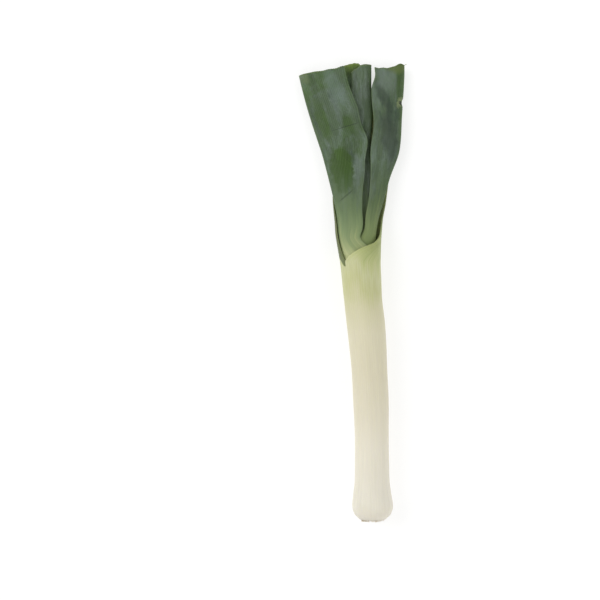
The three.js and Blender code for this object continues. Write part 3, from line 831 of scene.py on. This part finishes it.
def leaf_material(name, stops, looks):
    """The finish of a leaf: colour along its length in streaks, veins, wax bloom and pale edges."""
    shader = Shader(name)
    along = shader.note("along")
    lane = shader.note("lane")
    edge = shader.note("edge")
    cut = shader.note("cut")
    keel = shader.note("keel")
    inner = shader.note("inner")
    place = shader.place()
    seed = looks["seed"]

    fine = lane_noise(shader, lane, along, seed, "fine")
    broad = lane_noise(shader, lane, along, seed, "broad")
    uneven = shader.less(shader.pattern("uneven", place), 0.5)
    streaks = shader.product(shader.less(fine, 0.5), looks["streak_reach"])
    tongues = shader.product(shader.less(broad, 0.5), looks["tongue_reach"])
    shifted = shader.total(along, shader.total(streaks, tongues))
    for centre, radii, slant, reach in looks["shifts"]:
        spot = shader.spot(place, uneven, centre, radii, slant, 0.7)
        shifted = shader.total(shifted, shader.product(spot, reach))
    if looks["dark_margin"]:
        at_left = shader.between(lane, -1, 0, 1, 0, "LINEAR")
        above = shader.less(along, shader.product(edge, DARK_MARGIN_SLANT))
        dark = shader.product(shader.between(above, 15.5, 18), at_left, looks["dark_margin"])
        shifted = shader.total(shifted, dark)
    colour = shader.ramp(shifted, stops, -160, 160)

    green = shader.between(shifted, 45, 85)
    patches = shader.pattern("patches", place)
    rubbed = shader.between(patches, 0.5, 0.66, 0, looks["rubbed_share"])
    for centre, radii, slant, share, soft in looks["rubbed_spots"]:
        spot = shader.spot(place, uneven, centre, radii, slant, soft)
        rubbed = shader.maths("MAXIMUM", rubbed, shader.product(spot, share))
    rubbed = shader.product(rubbed, green)
    mottle = lane_noise(shader, lane, along, seed, "mottle")
    colour = shader.blend(colour, looks["rubbed"], rubbed)

    clouds = lane_noise(shader, lane, along, seed, "clouds")
    bare = shader.less(1, rubbed)
    worn = shader.between(mottle, 0.4, 0.6, 0.55, 1)
    waxed = shader.product(shader.between(clouds, 0.44, 0.62), green, bare, worn, looks["bloom_share"])
    colour = shader.blend(colour, looks["bloom"], waxed)
    deep = lane_noise(shader, lane, along, seed, "deep")
    deep_share = shader.product(shader.between(deep, 0.5, 0.64), green, looks["deep_share"])
    deep_share = shader.total(deep_share, shader.between(mottle, 0.52, 0.66, 0, 0.22), True)
    deep_share = shader.product(deep_share, green, bare)
    colour = shader.blend(colour, looks["deep"], deep_share)

    cell = shader.vector(lane, shader.product(along, SMUDGE_STRETCH), shader.product(uneven, SMUDGE_STRAY))
    smudge = shader.cells(cell, SMUDGE_SCALE)
    smudge = shader.between(smudge, 0, 1, 1 - looks["smudge"], 1 + looks["smudge"], "LINEAR")
    smudge = shader.total(1, shader.product(shader.less(smudge, 1), green))
    colour = shader.blend(colour, shader.vector(smudge, smudge, smudge), 1.0, "MULTIPLY")

    turn = shader.product(shader.note("vein"), 2 * math.pi)
    veins = shader.between(shader.maths("COSINE", turn), -1, 1, kind="LINEAR")
    strength = shader.between(broad, 0.3, 0.7, 0.4, 1.0, "LINEAR")
    vein_share = shader.between(shifted, 30, 60, looks["vein_share"], looks["green_vein_share"])
    colour = shader.blend(colour, looks["vein"], shader.product(veins, strength, vein_share))
    grain = shader.between(fine, 0.3, 0.7, 1 - looks["grain"], 1 + looks["grain"], "LINEAR")
    colour = shader.blend(colour, shader.vector(grain, grain, grain), 1.0, "MULTIPLY")

    speck = shader.pattern("specks", place)
    specks = shader.product(shader.between(speck, 0.62, 0.72), green, 0.3)
    colour = shader.blend(colour, looks["speck"], specks)

    keel_share = shader.product(shader.between(keel, 0.3, 3.4, 1, 0), green, looks["keel_share"])
    colour = shader.blend(colour, looks["keel"], keel_share)
    edge_share = shader.product(shader.between(edge, 0.1, 1.0, 1, 0), looks["edge_share"])
    colour = shader.blend(colour, looks["edge"], edge_share)
    ragged_cut = shader.total(cut, shader.product(uneven, 3))
    cut_share = shader.between(ragged_cut, 0.1, 1.2, looks["cut_share"], 0)
    colour = shader.blend(colour, looks["cut"], cut_share)
    inner_green = shader.product(inner, shader.between(along, 0, 20), looks["inside_share"])
    colour = shader.blend(colour, looks["inside"], inner_green)
    outer = shader.less(1, inner)
    on_fold = shader.vector(shader.product(keel, shader.maths("SIGN", lane)), along, 0.0)
    torn = shader.less(shader.pattern("torn", place), 0.5)
    torn = shader.product(torn, TORN_SPOT_ROUGHNESS)
    # Spots of colour in given places: most are the leaves' own tones, and on the right leaf some are
    # painted shade and a painted reflection.
    patterns = ((place, uneven, looks["spots"]), (on_fold, torn, looks["fold_spots"]))
    for where, rough, spots in patterns:
        for tone, centre, radii, slant, share, soft in spots:
            spot = shader.spot(where, rough, centre, radii, slant, soft)
            colour = shader.blend(colour, tone, shader.product(spot, outer, share))

    fibres = lane_noise(shader, lane, along, seed, "fibres")
    pores = shader.pattern("pores", place)
    normal = shader.bump(veins, looks["vein_depth"])
    normal = shader.bump(fibres, looks["fibre_depth"], normal)
    normal = shader.bump(pores, PORE_DEPTH, normal)
    waxy = shader.between(waxed, 0, 1, looks["roughness"], looks["roughness"] + 0.14, "LINEAR")
    roughness = shader.total(waxy, shader.between(pores, 0.2, 0.8, -0.04, 0.04, "LINEAR"))
    return shader.finish(
        colour,
        roughness,
        normal,
        IOR=1.4,
        Subsurface_Weight=looks["glow"],
        Subsurface_Radius=looks["glow_reach"],
        Subsurface_Scale=0.004,
    )


def leaf_looks(colours, **changes):
    """What the leaves' finishes share, with one leaf's own values."""
    looks = {
        "seed": 1.0,
        "streak_reach": 26.0,
        "tongue_reach": 30.0,
        "shifts": [],
        "dark_margin": 0.0,
        "rubbed": tuple(colours.rubbed_green),
        "rubbed_share": 0.7,
        "rubbed_spots": [],
        "bloom": tuple(colours.wax_bloom),
        "bloom_share": 0.9,
        "deep": tuple(colours.deep_green),
        "deep_share": 0.75,
        "vein": linear(120, 140, 104),
        "vein_share": 0.12,
        "green_vein_share": 0.12,
        "smudge": 0.13,
        "vein_depth": 0.05,
        "fibre_depth": 0.07,
        "grain": 0.09,
        "speck": linear(48, 68, 44),
        "keel": linear(76, 100, 52),
        "keel_share": 0.6,
        "edge": linear(112, 130, 90),
        "edge_share": 0.3,
        "cut": linear(122, 138, 92),
        "cut_share": 0.6,
        "inside": linear(96, 118, 70),
        "inside_share": 0.5,
        "spots": [],
        "fold_spots": [],
        "roughness": 0.45,
        "glow": 0.05,
        "glow_reach": (0.55, 1.0, 0.3),
    }
    looks.update(changes)
    return looks


def tones(colours, *stops):
    """Places and colours: the screen colour's three values, or the name of one of the leek's."""
    made = []
    for place, *tone in stops:
        made.append((place, linear(*tone) if len(tone) == 3 else tuple(getattr(colours, tone[0]))))
    return made


def blade_stops(colours, shift=0.0):
    """Colours along an inner leaf, from the white of its foot to the dark of its blade."""
    return tones(
        colours,
        (-150, "ivory"), (-30 + shift, "cream"), (4 + shift, 194, 194, 144),
        (24 + shift, 180, 185, 134), (32 + shift, "throat_green"), (42 + shift, "light_green"),
        (56 + shift, "mid_green"), (78 + shift, "blade_green"), (158, "blade_green"),
    )


def colour_property(name, description, red, green, blue):
    return FloatVectorProperty(
        name=name,
        description=description,
        default=linear(red, green, blue),
        size=3,
        min=0,
        max=1,
        subtype="COLOR",
    )


class LeekColours(bpy.types.PropertyGroup):
    """Colours of the leek's sheaths and blades."""

    ivory: colour_property("Ivory", "White of the shaft near the roots", 232, 227, 210)
    cream: colour_property("Cream", "Shaft where the green starts to show", 220, 214, 184)
    pale_green: colour_property("Pale green", "Yellow-green of the upper shaft", 197, 199, 151)
    throat_green: colour_property("Throat green", "Leaves just above the shaft", 152, 163, 112)
    light_green: colour_property("Light green", "Lower part of the blades", 124, 142, 96)
    mid_green: colour_property("Mid green", "Middle of the blades", 98, 118, 78)
    blade_green: colour_property("Blade green", "Upper part of the blades", 77, 96, 69)
    deep_green: colour_property("Deep green", "Darkest places of the blades", 50, 70, 52)
    rubbed_green: colour_property("Rubbed green", "Where the wax is rubbed off", 52, 80, 16)
    wax_bloom: colour_property("Wax bloom", "Grey-blue wax on the blades", 103, 118, 107)
    # The tip's yellow-green is partly the young leaf's own colour and partly painted light.
    youngest: colour_property("Youngest leaf", "Yellow-green tip of the innermost leaf", 104, 128, 46)
    root_brown: colour_property("Root brown", "Dried face of the root plate", 196, 178, 142)


def number_property(name, description, default, low, high, **more):
    """A number that a user can change, between its least and its greatest value."""
    kind = IntProperty if isinstance(default, int) else FloatProperty
    return kind(name=name, description=description, default=default, min=low, max=high, **more)


class LeekSizes(bpy.types.PropertyGroup):
    """Fineness and relief of the leek's leaves."""

    columns: number_property("Columns", "Faces across each half of a leaf", 110, 20, 150)
    vein_height: number_property(
        "Vein height", "How far the veins stand out of the blade", 0.00005, 0, 0.0005, unit="LENGTH"
    )
    opening_step: number_property(
        "Mouth step",
        "Distance between rows where a sheath opens",
        0.0009,
        0.0003,
        0.005,
        unit="LENGTH",
    )
    blade_step: number_property(
        "Blade step", "Distance between rows along a blade", 0.0021, 0.0005, 0.01, unit="LENGTH"
    )


class LeekStage(bpy.types.PropertyGroup):
    """Floor and light."""

    floor_size: number_property("Floor size", "Side of the square floor", 30.0, 1, 50, unit="LENGTH")
    key_power: number_property(
        "Key power", "Power of the large soft light at the upper left", 13.0, 0, 1000, unit="POWER"
    )
    sky_strength: number_property(
        "Sky strength", "Strength of the even white light from all round", 0.6, 0, 10
    )


def make_leaf(layer, material, sheath_step=INNER_SHEATH_STEP, split=(1, 1)):
    """A leaf's fine piece, in place of its node."""
    sizes = bpy.context.scene.leek_sizes
    steps = (sheath_step, sizes.opening_step / MM, sizes.blade_step / MM)
    columns = [round(sizes.columns * share) for share in split]
    points, quads, notes = leaf_mesh(layer, columns, steps, sizes.vein_height / MM)
    node = LEAVES[layer]["name"]
    piece = piece_from(node + "_fine", points, quads, notes, material)
    hand_over(piece, node)


class LEEK_OT_outer_leaf(bpy.types.Operator):
    """Adds the oldest leaf: the shaft's ivory skin and the dark blade behind the fan"""

    bl_idname = "leek.outer_leaf"
    bl_label = "Outer leaf"

    def execute(self, context):
        colours = context.scene.leek_colours
        stops = tones(
            colours,
            (-157, 234, 227, 208),
            (-146, "ivory"), (-108, 233, 227, 207), (-86, 227, 220, 196), (-56, 220, 213, 185),
            (-30, "cream"), (-10, 210, 206, 168), (4, 194, 195, 141), (15, "pale_green"),
            (22, 189, 193, 136), (29, 175, 183, 120), (37, 155, 166, 100), (47, 124, 138, 82),
            (60, 108, 120, 72), (90, 102, 112, 66), (116, 84, 98, 62), (158, "blade_green"),
        )
        looks = leaf_looks(
            colours,
            seed=2.0,
            streak_reach=22.0,
            tongue_reach=16.0,
            shifts=[([13, 14], [8, 24], -0.05, 4.0), ([1, 12], [7, 12], 0.0, -4.0)],
            dark_margin=60.0,
            rubbed=linear(98, 108, 58),
            rubbed_share=0.35,
            bloom=linear(106, 115, 74),
            deep=linear(76, 85, 48),
            deep_share=0.35,
            vein=linear(240, 236, 222),
            vein_share=0.09,
            green_vein_share=0.02,
            vein_depth=0.04,
            fibre_depth=0.05,
            grain=0.03,
            edge=linear(172, 178, 122),
            edge_share=0.0,
            # The pale inside is partly the sheath's own colour and partly painted light that lifts the
            # shade in the slot by its mouth.
            inside=linear(188, 196, 150),
            inside_share=0.7,
            roughness=0.38,
            glow=0.12,
            glow_reach=(0.9, 1.0, 0.6),
        )
        material = leaf_material("outer_leaf_finish", stops, looks)
        make_leaf(0, material, OUTER_SHEATH_STEP, (1.2, 0.8))
        return {"FINISHED"}


class LEEK_OT_broad_leaves(bpy.types.Operator):
    """Adds the two broad leaves of the fan, one folded at each side"""

    bl_idname = "leek.broad_leaves"
    bl_label = "Broad leaves"

    def execute(self, context):
        colours = context.scene.leek_colours
        corner = linear(112, 124, 88)
        left = leaf_looks(
            colours,
            seed=11.0,
            rubbed_spots=[
                ([-7, 84], [8.6, 16.5], -0.08, 1.0, 0.4),
                ([-15.5, 84], [4, 18], -0.22, 0.4, 0.9),
                ([-21, 119], [4, 15], -0.3, 0.8, 0.7),
                ([-13, 62], [4, 7], -0.1, 0.4, 0.6),
            ],
            spots=[
                (corner, [-33, 148], [3, 4.5], -0.3, 0.4, 0.7),
                (linear(112, 130, 119), [-13, 143], [4.5, 13], -0.4, 0.4, 1.0),
                (linear(38, 52, 34), [-4.5, 113.8], [1.1, 2.7], 3.2, 0.6, 0.7),
                (linear(46, 62, 36), [-3.8, 66.5], [0.9, 4.2], 1.15, 0.5, 0.7),
            ],
        )
        left_finish = leaf_material("left_leaf_finish", blade_stops(colours), left)
        make_leaf(1, left_finish)
        right = leaf_looks(
            colours,
            seed=23.0,
            bloom_share=0.8,
            rubbed_share=0.4,
            rubbed_spots=[([34, 142], [3.4, 24], 0.0, 0.8, 0.8), ([12, 54], [8, 12], 0.0, 0.4, 0.6)],
            keel_share=0.8,
            spots=[
                # A grey patch of painted sheen: a painted reflection laid on the blade near its cut end.
                (linear(112, 126, 115), [23.5, 147], [6, 10], -0.1, 0.5, 1.0),
                (linear(94, 110, 54), [30, 155.8], [7, 4.5], 0.0, 0.75, 0.7),
                # Two dark patches of painted shade, in the hollows of the blade's folds.
                (linear(48, 62, 48), [26, 107], [5.5, 17], -0.12, 0.75, 0.9),
                (linear(50, 64, 50), [21.5, 134], [3.6, 9], -0.45, 0.6, 0.8),
            ],
            fold_spots=[
                (linear(130, 142, 98), [2.9, 131.2], [2.0, 3.6], -0.3, 0.75, 0.9),
                (linear(38, 50, 30), [2.0, 130.4], [1.5, 1.3], 0.4, 0.95, 0.6),
            ],
        )
        right_stops = tones(
            colours,
            (-150, "ivory"), (-40, "cream"), (2, "pale_green"), (20, 150, 164, 98),
            (30, 128, 144, 86), (44, 124, 141, 90), (62, 90, 108, 70), (82, "blade_green"),
            (158, "blade_green"),
        )
        right_finish = leaf_material("right_leaf_finish", right_stops, right)
        make_leaf(2, right_finish)
        add_torn_fibre(fibre_material())
        return {"FINISHED"}


class LEEK_OT_inner_leaves(bpy.types.Operator):
    """Adds the narrow leaf inside the left one and the strap in the middle of the fan"""

    bl_idname = "leek.inner_leaves"
    bl_label = "Inner leaves"

    def execute(self, context):
        colours = context.scene.leek_colours
        narrow = leaf_looks(colours, seed=37.0, bloom_share=0.4, rubbed_share=0.9)
        narrow_finish = leaf_material("narrow_leaf_finish", blade_stops(colours, 4), narrow)
        make_leaf(3, narrow_finish)
        strap = leaf_looks(
            colours,
            seed=41.0,
            bloom=linear(110, 124, 111),
            bloom_share=1.0,
            rubbed_share=0.05,
            deep_share=0.2,
        )
        strap_finish = leaf_material("strap_leaf_finish", blade_stops(colours, 2), strap)
        make_leaf(4, strap_finish)
        return {"FINISHED"}


class LEEK_OT_youngest_leaf(bpy.types.Operator):
    """Adds the leaf in the middle of the roll, with painted shade down in the fold and a yellow-green tip
    that is partly its own colour and partly painted light
    """

    bl_idname = "leek.youngest_leaf"
    bl_label = "Youngest leaf"

    def execute(self, context):
        colours = context.scene.leek_colours
        # The dark greens just below the tip are painted shade, where the leaf lies deep between the
        # others; the yellow-green at the tip is partly the young leaf's own colour and partly painted
        # light.
        stops = tones(
            colours,
            (-150, "ivory"),
            (0, "cream"), (40, 150, 164, 92), (80, 84, 106, 56), (146, 86, 108, 80),
            (151.5, 68, 90, 36), (155, 84, 108, 32), (158, "youngest"),
        )
        looks = leaf_looks(
            colours,
            seed=53.0,
            streak_reach=4.0,
            tongue_reach=3.0,
            bloom_share=0.0,
            rubbed_share=0.2,
            deep_share=0.15,
            cut=linear(132, 148, 80),
            inside=linear(80, 104, 34),
        )
        make_leaf(5, leaf_material("youngest_leaf_finish", stops, looks))
        return {"FINISHED"}


def turned_body(outline_points, sides, centre):
    """A closed body turned about the leek's length, from its radius and place list."""
    points = []
    rings = []
    for radius, y in outline_points:
        if radius == 0:
            rings.append([len(points)])
            points.append([centre[0], y, centre[1]])
            continue
        rings.append(list(range(len(points), len(points) + sides)))
        for i in range(sides):
            turn = 2 * math.pi * i / sides
            points.append([centre[0] + radius * math.cos(turn), y, centre[1] + radius * math.sin(turn)])
    faces = []
    for low, high in zip(rings, rings[1:]):
        for i in range(sides):
            j = (i + 1) % sides
            if len(low) == 1:
                faces.append([low[0], high[i], high[j]])
            elif len(high) == 1:
                faces.append([low[i], high[0], low[j]])
            else:
                faces.append([low[i], high[i], high[j], low[j]])
    return np.array(points), faces


def fine_outline(points, step):
    """The plate's outline with its long stretches split."""
    out = []
    for (r0, y0), (r1, y1) in zip(points, points[1:]):
        count = max(1, round(math.hypot(r1 - r0, y1 - y0) / step))
        for i in range(count):
            out.append([mix(r0, r1, i / count), mix(y0, y1, i / count)])
    out.append(list(points[-1]))
    return out


def tube_mesh(path, radii, sides):
    """A closed tube along a path, with a radius at each of its points."""
    points = []
    path = np.asarray(path, float)
    for i, here in enumerate(path):
        ahead = path[min(i + 1, len(path) - 1)] - path[max(i - 1, 0)]
        ahead = ahead / np.linalg.norm(ahead)
        side = np.cross(ahead, [0.31, 0.2, 0.93])
        side = side / np.linalg.norm(side)
        up = np.cross(side, ahead)
        for k in range(sides):
            turn = 2 * math.pi * k / sides
            points.append(here + radii[i] * (side * math.cos(turn) + up * math.sin(turn)))
    faces = []
    for i in range(len(path) - 1):
        for k in range(sides):
            j = (k + 1) % sides
            faces.append([i * sides + k, (i + 1) * sides + k, (i + 1) * sides + j, i * sides + j])
    faces.append(list(range(sides)))
    faces.append([(len(path) - 1) * sides + k for k in reversed(range(sides))])
    return np.array(points), faces


def add_torn_fibre(material):
    """The fibre at the right leaf's corner, curved and thinner at its end."""
    path = []
    radii = []
    for t in np.linspace(0, 1, TORN_POINTS):
        point = mix(np.array(TORN_FROM), np.array(TORN_TO), t)
        point[1] += TORN_BOW * math.sin(math.pi * t)
        path.append(point)
        radii.append(TORN_RADIUS * (1 - TORN_TAPER * t))
    points, faces = tube_mesh(path, radii, TORN_SIDES)
    piece = piece_from("torn_fibre", points, faces, {}, material)
    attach(piece, "root")


def fibre_material():
    shader = Shader("torn_fibre_finish")
    grain = shader.pattern("fibre grain", shader.place())
    colour = shader.ramp(grain, [(0.3, linear(112, 128, 72)), (0.7, linear(142, 154, 98))], 0, 1)
    return shader.finish(colour, 0.55, shader.bump(grain, 0.05))


def joined(bodies):
    """Several bodies as one list of points and faces, with a note of each body's part."""
    points = []
    faces = []
    parts = []
    start = 0
    for body_points, body_faces, part in bodies:
        points.append(body_points)
        faces.extend([[i + start for i in face] for face in body_faces])
        parts.extend([part] * len(body_points))
        start += len(body_points)
    return np.concatenate(points), faces, np.array(parts, float)


def root_bodies(centre, draws):
    """The trimmed plate, its cut root stubs and the dry fibres between them."""
    plate_outline = fine_outline(PLATE_OUTLINE, PLATE_STEP)
    plate_points, plate_faces = turned_body(plate_outline, PLATE_SIDES, centre)
    away = plate_points[:, [0, 2]] - np.array(centre)
    radius = np.hypot(away[:, 0], away[:, 1])
    turn = np.arctan2(away[:, 1], away[:, 0])
    on_face = smooth(plate_points[:, 1], *PLATE_FACE)
    ridges = 0
    for height, by_radius, around in PLATE_RIDGES:
        ridges = ridges + height * np.sin(turn * around + radius * by_radius)
    plate_points[:, 1] -= on_face * ridges * smooth(radius, 0, 1)
    bodies = [(plate_points, plate_faces, 0)]
    face = PLATE_OUTLINE[0][1]
    for i in range(ROOT_STUB_COUNT):
        reach = ROOT_STUB_REACH * math.sqrt((i + 0.5) / ROOT_STUB_COUNT)
        angle = i * GOLDEN_ANGLE + draws.random() * ROOT_STUB_STRAY
        width = mix(*ROOT_STUB_RADIUS, draws.random())
        length = mix(*ROOT_STUB_LENGTH, draws.random())
        lean = (draws.random(2) - 0.5) * ROOT_STUB_LEAN
        path = []
        radii = []
        for t in STRAND_SHARES:
            passed = t * (length + ROOT_STUB_SINK)
            x = centre[0] + reach * math.cos(angle) + lean[0] * passed
            z = centre[1] + reach * math.sin(angle) + lean[1] * passed
            path.append([x, face + ROOT_STUB_SINK - passed, z])
            lump = ROOT_STUB_LUMP * math.sin(t * ROOT_STUB_LUMP_TURNS + i)
            radii.append(width * (1 - ROOT_STUB_TAPER * t + lump))
        x, y, z = path[-1]
        path.append([x, y - ROOT_STUB_CAP, z])
        radii.append(radii[-1] * ROOT_STUB_CAP_SHARE)
        bodies.append((*tube_mesh(path, radii, ROOT_STUB_SIDES), 1))
    radii = ROOT_FIBRE_RADIUS * (1 - ROOT_FIBRE_TAPER * STRAND_SHARES)
    for i in range(ROOT_FIBRE_COUNT):
        least, added = ROOT_FIBRE_REACH[i % 2]
        reach = least + added * draws.random()
        angle = draws.random() * 2 * math.pi
        drift = (draws.random(3) - 0.5) * ROOT_FIBRE_DRIFT
        length = ROOT_FIBRE_LENGTH[0] + ROOT_FIBRE_LENGTH[1] * draws.random()
        path = []
        for t in STRAND_SHARES:
            x = centre[0] + reach * math.cos(angle) + drift[0] * t * t
            z = centre[1] + reach * math.sin(angle) + drift[1] * t * t
            path.append([x, face + ROOT_FIBRE_SINK - t * (length + ROOT_FIBRE_SINK), z])
        bodies.append((*tube_mesh(path, radii, ROOT_FIBRE_SIDES), 2))
    return bodies


def root_material(colours):
    shader = Shader("root_plate_finish")
    place = shader.place()
    part = shader.note("part")
    cloud = shader.pattern("root cloud", place)
    colour = shader.ramp(
        cloud,
        [
            (0.2, linear(240, 231, 208)),
            (0.42, linear(249, 244, 230)),
            (0.58, linear(244, 237, 218)),
            (0.75, tuple(colours.root_brown)),
        ],
        0,
        1,
    )
    stub = shader.between(part, 0, 1)
    colour = shader.blend(colour, linear(247, 241, 226), shader.product(stub, 0.6))
    fibre = shader.between(part, 1, 2)
    colour = shader.blend(colour, linear(190, 166, 126), fibre)
    specks = shader.pattern("root specks", place)
    colour = shader.blend(colour, linear(150, 126, 90), shader.between(specks, 0.6, 0.74, 0, 0.6))
    normal = shader.bump(shader.pattern("root grit", place), ROOT_GRIT_DEPTH)
    return shader.finish(
        colour,
        0.72,
        normal,
        Subsurface_Weight=0.08,
        Subsurface_Radius=(1.0, 0.9, 0.7),
        Subsurface_Scale=0.002,
    )


class LEEK_OT_root_plate(bpy.types.Operator):
    """Adds the trimmed root plate with its cut roots and dry fibres"""

    bl_idname = "leek.root_plate"
    bl_label = "Root plate"

    def execute(self, context):
        place = SKIN[0][0]
        centre = [float(skin_left(place) + skin_right(place)) / 2, BULB_AXIS_HEIGHT]
        draws = np.random.default_rng(7)
        points, faces, parts = joined(root_bodies(centre, draws))
        material = root_material(context.scene.leek_colours)
        piece = piece_from("root_plate_fine", points, faces, {"part": parts}, material)
        hand_over(piece, "root_plate")
        return {"FINISHED"}


def floor_material():
    """A white surface that is lit from within, so that shadows on it stay weak."""
    shader = Shader("floor_finish")
    grain = shader.pattern("floor", shader.place())
    colour = shader.blend(*FLOOR_GREYS, grain)
    shader.plug(shader.surface.inputs["Base Color"], colour)
    shader.plug(shader.surface.inputs["Emission Color"], (1, 1, 0.995))
    shader.surface.inputs["Emission Strength"].default_value = FLOOR_GLOW
    shader.surface.inputs["Roughness"].default_value = 0.85
    shader.surface.inputs["Specular IOR Level"].default_value = 0.1
    return shader.material


def soft_light(name, power, size, place):
    """A round light that aims at the leek's middle."""
    data = bpy.data.lights.new(name, "AREA")
    data.shape = "DISK"
    data.energy = power
    data.size = size
    light = bpy.data.objects.new(name, data)
    light.location = place
    light.rotation_euler = (-Vector(place)).to_track_quat("-Z", "Y").to_euler()
    bpy.context.scene.collection.objects.link(light)


class LEEK_OT_stage(bpy.types.Operator):
    """Adds the floor, the soft lights and the camera that looks straight down"""

    bl_idname = "leek.stage"
    bl_label = "Stage"

    def execute(self, context):
        scene = context.scene
        settings = scene.leek_stage
        half = settings.floor_size / 2
        floor_points = [[-half, -half, 0], [half, -half, 0], [half, half, 0], [-half, half, 0]]
        mesh = bpy.data.meshes.new("floor")
        mesh.from_pydata(floor_points, [], [[0, 1, 2, 3]])
        mesh.materials.append(floor_material())
        floor = bpy.data.objects.new("floor", mesh)
        scene.collection.objects.link(floor)

        world = bpy.data.worlds.new("even_light")
        world.use_nodes = True
        background = world.node_tree.nodes["Background"]
        background.inputs["Color"].default_value = (1, 1, 1, 1)
        background.inputs["Strength"].default_value = settings.sky_strength
        scene.world = world
        for name, share, size, place in SOFT_LIGHTS:
            soft_light(name, settings.key_power * share, size, place)
        scene.view_settings.view_transform = "Standard"

        camera_data = bpy.data.cameras.new("camera")
        distance = VIEW_HEIGHT - LEEK_MIDDLE
        camera_data.lens = camera_data.sensor_width * distance / VIEW_WIDTH
        camera_data.clip_start = 0.01
        camera_data.clip_end = 20
        camera = bpy.data.objects.new("camera", camera_data)
        camera.location = (VIEW_CENTRE[0] * MM, VIEW_CENTRE[1] * MM, VIEW_HEIGHT * MM)
        scene.collection.objects.link(camera)
        scene.camera = camera
        return {"FINISHED"}


class LEEK_PT_panel(bpy.types.Panel):
    """Lists the leek's pieces in the sidebar"""

    bl_idname = "LEEK_PT_panel"
    bl_label = "Leek"
    bl_space_type = "VIEW_3D"
    bl_region_type = "UI"
    bl_category = "Leek"

    def draw(self, context):
        for operator in PIECE_OPERATORS:
            self.layout.operator(operator.bl_idname)
        for group in ("leek_sizes", "leek_colours", "leek_stage"):
            values = getattr(context.scene, group)
            box = self.layout.box()
            for name in values.__annotations__:
                box.prop(values, name)


PIECE_OPERATORS = (
    LEEK_OT_stage,
    LEEK_OT_outer_leaf,
    LEEK_OT_broad_leaves,
    LEEK_OT_inner_leaves,
    LEEK_OT_youngest_leaf,
    LEEK_OT_root_plate,
)
CLASSES = (LeekColours, LeekSizes, LeekStage, *PIECE_OPERATORS, LEEK_PT_panel)


def register():
    for cls in CLASSES:
        bpy.utils.register_class(cls)
    bpy.types.Scene.leek_colours = PointerProperty(type=LeekColours)
    bpy.types.Scene.leek_sizes = PointerProperty(type=LeekSizes)
    bpy.types.Scene.leek_stage = PointerProperty(type=LeekStage)


def unregister():
    del bpy.types.Scene.leek_stage
    del bpy.types.Scene.leek_sizes
    del bpy.types.Scene.leek_colours
    for cls in reversed(CLASSES):
        bpy.utils.unregister_class(cls)


def main():
    register()
    bpy.ops.leek.stage()
    bpy.ops.leek.outer_leaf()
    bpy.ops.leek.broad_leaves()
    bpy.ops.leek.inner_leaves()
    bpy.ops.leek.youngest_leaf()
    bpy.ops.leek.root_plate()


if __name__ == "__main__":
    main()
